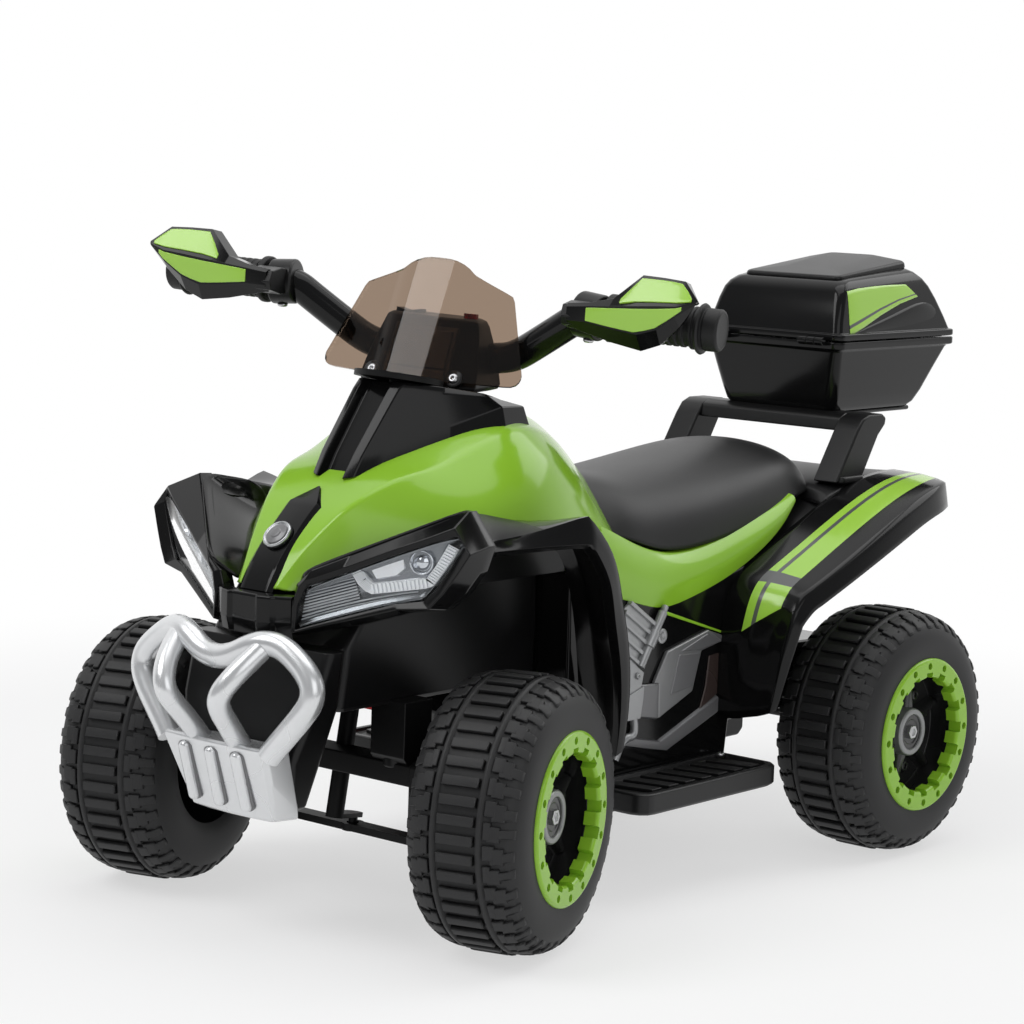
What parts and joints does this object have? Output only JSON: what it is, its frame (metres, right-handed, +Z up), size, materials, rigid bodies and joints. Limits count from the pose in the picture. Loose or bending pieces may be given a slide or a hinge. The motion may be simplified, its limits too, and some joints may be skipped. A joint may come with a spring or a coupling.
{
  "type": "kids quad bike",
  "caption": "Child's ride-on quad bike with steered front wheels, geared rear drive, moulded body, foot boards, handguards, smoked screen, bumper bar and a hinged rear trunk.",
  "frame": {"origin": "middle of the footprint on the ground", "axes": "+Z up, -Y to the front, +X to the rider's left; front wheels and handlebar stand turned to the rider's left at rest"},
  "size_m": [0.416, 0.7668, 0.4452],
  "materials": {
    "green_plastic": "glossy moulded",
    "black_gloss": "glossy moulded",
    "black_satin": "fine grain",
    "tyre_plastic": "matte moulded tread",
    "silver_plastic": "satin silver coat",
    "grey_dress": "printed dress panel",
    "lamp_chrome": "vacuum metallised",
    "lamp_clear": "clear moulded",
    "smoke_clear": "smoked clear sheet",
    "axle_steel": "zinc plated",
    "gear_nylon": "natural nylon",
    "pedal_red": "glossy moulded",
    "grip_rubber": "matte ribbed",
    "inner_black": "plain moulded"
  },
  "bodies": {
    "chassis": {"hood": "green_plastic", "side_panel_left": "green_plastic", "side_panel_right": "green_plastic", "front_fascia": "black_gloss", "front_fender_left": "black_gloss", "front_fender_right": "black_gloss", "steering_cowl": "black_gloss", "rear_body": "black_gloss", "trunk_base": "black_gloss", "nose_strip": "black_gloss", "seat": "black_satin", "rack_leg_left": "black_satin", "rack_leg_right": "black_satin", "rack_beam": "black_satin", "footboard_left": "black_satin", "footboard_right": "black_satin", "bull_bar": "silver_plastic", "skid_plate": "silver_plastic", "engine_cover_left": "grey_dress", "engine_cover_right": "grey_dress", "headlight_reflectors": "lamp_chrome", "headlight_lenses": "lamp_clear", "rear_axle": "axle_steel", "drive_motor": "axle_steel", "chassis_tub": "inner_black", "front_frame": "inner_black", "front_axle_beam": "inner_black", "battery": "inner_black", "gearbox_housing": "inner_black"},
    "steering": {"steering_column": "axle_steel", "handlebar": "black_satin", "dash_housing": "black_gloss", "windshield": "smoke_clear", "handguard_left": "black_gloss", "handguard_right": "black_gloss", "grip_left": "grip_rubber", "grip_right": "grip_rubber"},
    "horn": {"horn_button": "pedal_red"},
    "rocker": {"direction_switch": "black_satin"},
    "knuckle_left": {"knuckle_left": "axle_steel"},
    "knuckle_right": {"knuckle_right": "axle_steel"},
    "tie_rod": {"tie_rod": "axle_steel"},
    "wheel_front_left": {"tyre_front_left": "tyre_plastic", "rim_ring_front_left": "green_plastic", "wheel_hub_front_left": "inner_black"},
    "wheel_front_right": {"tyre_front_right": "tyre_plastic", "rim_ring_front_right": "green_plastic", "wheel_hub_front_right": "inner_black"},
    "wheel_rear_left": {"tyre_rear_left": "tyre_plastic", "rim_ring_rear_left": "green_plastic", "wheel_hub_rear_left": "inner_black"},
    "wheel_rear_right": {"tyre_rear_right": "tyre_plastic", "rim_ring_rear_right": "green_plastic", "wheel_hub_rear_right": "inner_black", "output_gear": "gear_nylon"},
    "reduction": {"reduction_gear": "gear_nylon"},
    "pinion": {"motor_pinion": "gear_nylon"},
    "lid": {"trunk_lid": "black_gloss"},
    "pedal": {"accelerator_pedal": "pedal_red"}
  },
  "joints": [
    {"name": "steer", "type": "hinge", "parent": "chassis", "child": "steering", "pos_m": [0.00496, -0.20208, 0.36], "axis": [0, 0.1736, 0.9848], "range_deg": [-41, 9]},
    {"name": "king_left", "type": "hinge", "parent": "chassis", "child": "knuckle_left", "pos_m": [0.09696, -0.25608, 0.09], "axis": [0, 0, 1], "range_deg": [-41, 9]},
    {"name": "king_right", "type": "hinge", "parent": "chassis", "child": "knuckle_right", "pos_m": [-0.08704, -0.25608, 0.09], "axis": [0, 0, 1], "range_deg": [-41, 9]},
    {"name": "rod_pin", "type": "hinge", "parent": "knuckle_left", "child": "tie_rod", "pos_m": [0.08869, -0.22724, 0.054], "axis": [0, 0, 1], "range_deg": [-9, 41]},
    {"name": "front_left_spin", "type": "hinge", "parent": "knuckle_left", "child": "wheel_front_left", "pos_m": [0.14886, -0.2412, 0.09], "axis": [0.9613, 0.2756, 0], "continuous": true},
    {"name": "front_right_spin", "type": "hinge", "parent": "knuckle_right", "child": "wheel_front_right", "pos_m": [-0.13895, -0.27096, 0.09], "axis": [0.9613, 0.2756, 0], "continuous": true},
    {"name": "rear_left_spin", "type": "hinge", "parent": "chassis", "child": "wheel_rear_left", "pos_m": [0.15096, 0.17592, 0.09], "axis": [1, 0, 0], "continuous": true},
    {"name": "rear_right_spin", "type": "hinge", "parent": "chassis", "child": "wheel_rear_right", "pos_m": [-0.14104, 0.17592, 0.09], "axis": [1, 0, 0], "continuous": true},
    {"name": "reduction_spin", "type": "hinge", "parent": "chassis", "child": "reduction", "pos_m": [-0.05504, 0.15612, 0.1098], "axis": [1, 0, 0], "continuous": true},
    {"name": "pinion_spin", "type": "hinge", "parent": "chassis", "child": "pinion", "pos_m": [-0.04504, 0.15612, 0.1348], "axis": [1, 0, 0], "continuous": true},
    {"name": "lid_hinge", "type": "hinge", "parent": "chassis", "child": "lid", "pos_m": [0.00496, 0.21271, 0.3678], "axis": [1, 0, 0], "range_deg": [0, 80]},
    {"name": "pedal_press", "type": "hinge", "parent": "chassis", "child": "pedal", "pos_m": [-0.11009, -0.0336, 0.08415], "axis": [1, 0, 0], "range_deg": [0, 6], "stiffness_Nm_per_rad": 1.5, "springref_deg": -2.86},
    {"name": "horn_press", "type": "slide", "parent": "steering", "child": "horn", "axis": [-0.029, -0.073, -0.9969], "range_m": [0, 0.002], "stiffness_N_per_m": 300, "springref_m": -0.0005},
    {"name": "rocker_tilt", "type": "hinge", "parent": "steering", "child": "rocker", "pos_m": [-0.02832, -0.15597, 0.39193], "axis": [-0.2741, 0.9597, -0.0622], "range_deg": [-6, 6]}
  ],
  "couplings": [
    {"joint": "king_left", "follows": "steer", "ratio": 1},
    {"joint": "king_right", "follows": "steer", "ratio": 1},
    {"joint": "rod_pin", "follows": "steer", "ratio": -1},
    {"joint": "reduction_spin", "follows": "rear_right_spin", "ratio": -3.6667},
    {"joint": "pinion_spin", "follows": "rear_right_spin", "ratio": 14.667}
  ]
}
